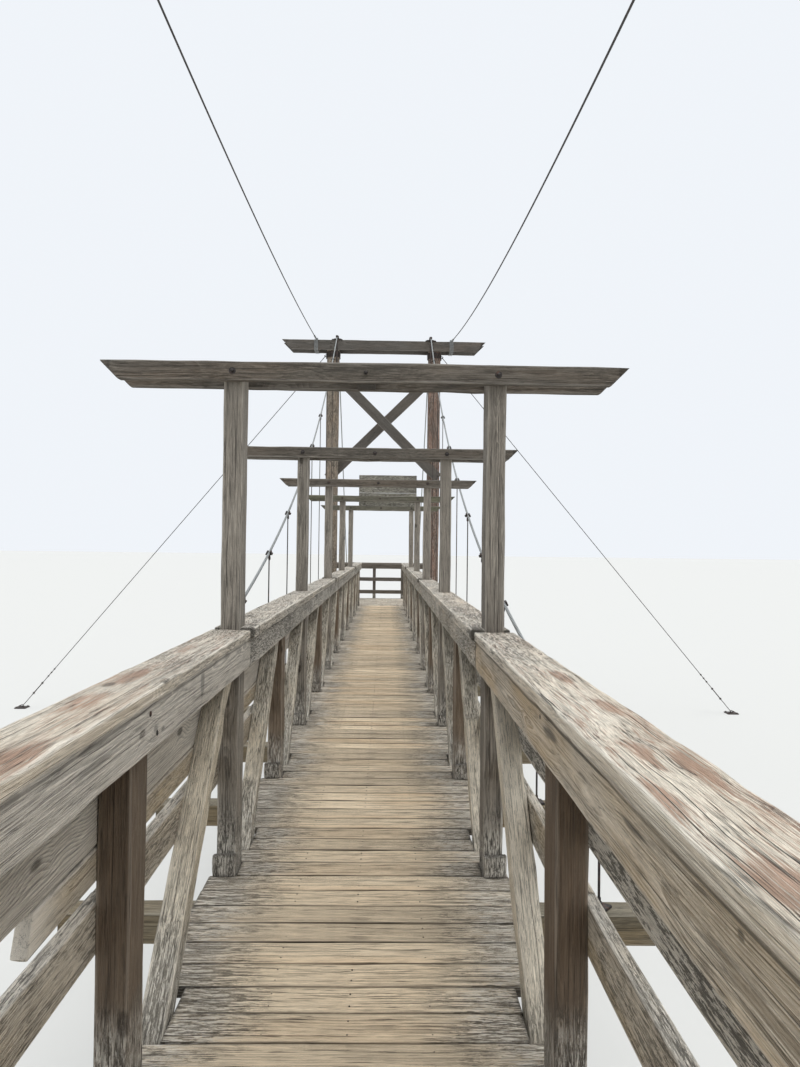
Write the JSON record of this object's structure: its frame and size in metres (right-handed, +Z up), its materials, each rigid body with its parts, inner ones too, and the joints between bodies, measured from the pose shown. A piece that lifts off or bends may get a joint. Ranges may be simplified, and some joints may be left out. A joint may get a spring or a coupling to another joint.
{
  "type": "timber suspension footbridge, scale model at 1:2",
  "caption": "Timber suspension footbridge with trussed side rails, overhead portal frames, braced pole towers, cables, hangers and end landings.",
  "frame": {"origin": "centre of the footprint on the ground, under midspan", "axes": "+X across the walkway to the right, +Y along the bridge towards its far end, +Z up"},
  "size_m": [8.63, 27.5278, 4.5053],
  "materials": {
    "post_timber": "weathered, matt",
    "chord_timber": "weathered, matt",
    "cap_timber": "bleached, with worn red-brown stain",
    "deck_timber": "weathered, matt",
    "floor_timber": "weathered, matt",
    "pole_timber": "round poles, checked and flaking",
    "sign_panel": "dark weathered board, blank",
    "cable_steel": "galvanised, dull",
    "fitting_steel": "dark, weathered",
    "concrete": "cast concrete"
  },
  "bodies": {
    "root": {"portal_frame_mid": "post_timber", "portal_frame_near_1": "post_timber", "portal_frame_near_2": "post_timber", "portal_frame_near_3": "post_timber", "portal_frame_near_4": "post_timber", "portal_frame_near_5": "post_timber", "portal_frame_far_1": "post_timber", "portal_frame_far_2": "post_timber", "portal_frame_far_3": "post_timber", "portal_frame_far_4": "post_timber", "portal_frame_far_5": "post_timber", "truss_web_left": "post_timber", "top_chord_inner_left": "chord_timber", "top_chord_outer_left": "chord_timber", "mid_rail_left": "chord_timber", "cap_rail_left": "cap_timber", "truss_web_right": "post_timber", "top_chord_inner_right": "chord_timber", "top_chord_outer_right": "chord_timber", "mid_rail_right": "chord_timber", "cap_rail_right": "cap_timber", "splice_board_left": "chord_timber", "floor_frame": "floor_timber", "deck": "deck_timber", "tower_beam_near": "post_timber", "tower_cross_beam_near": "floor_timber", "tower_brace_near_inner": "post_timber", "tower_brace_near_outer": "post_timber", "landing_near": "deck_timber", "end_rail_near": "post_timber", "sign_board_near": "sign_panel", "tower_pole_near_left": "pole_timber", "saddle_near_left": "fitting_steel", "side_guy_near_left": "fitting_steel", "anchor_block_near_left": "concrete", "tower_pole_near_right": "pole_timber", "saddle_near_right": "fitting_steel", "side_guy_near_right": "fitting_steel", "anchor_block_near_right": "concrete", "tower_beam_far": "post_timber", "tower_cross_beam_far": "floor_timber", "tower_brace_far_inner": "post_timber", "tower_brace_far_outer": "post_timber", "landing_far": "deck_timber", "end_rail_far": "post_timber", "sign_board_far": "sign_panel", "tower_pole_far_left": "pole_timber", "saddle_far_left": "fitting_steel", "side_guy_far_left": "fitting_steel", "anchor_block_far_left": "concrete", "tower_pole_far_right": "pole_timber", "saddle_far_right": "fitting_steel", "side_guy_far_right": "fitting_steel", "anchor_block_far_right": "concrete", "main_cable_left": "cable_steel", "overhead_tie_left": "fitting_steel", "main_cable_right": "cable_steel", "overhead_tie_right": "fitting_steel"}
  },
  "joints": []
}
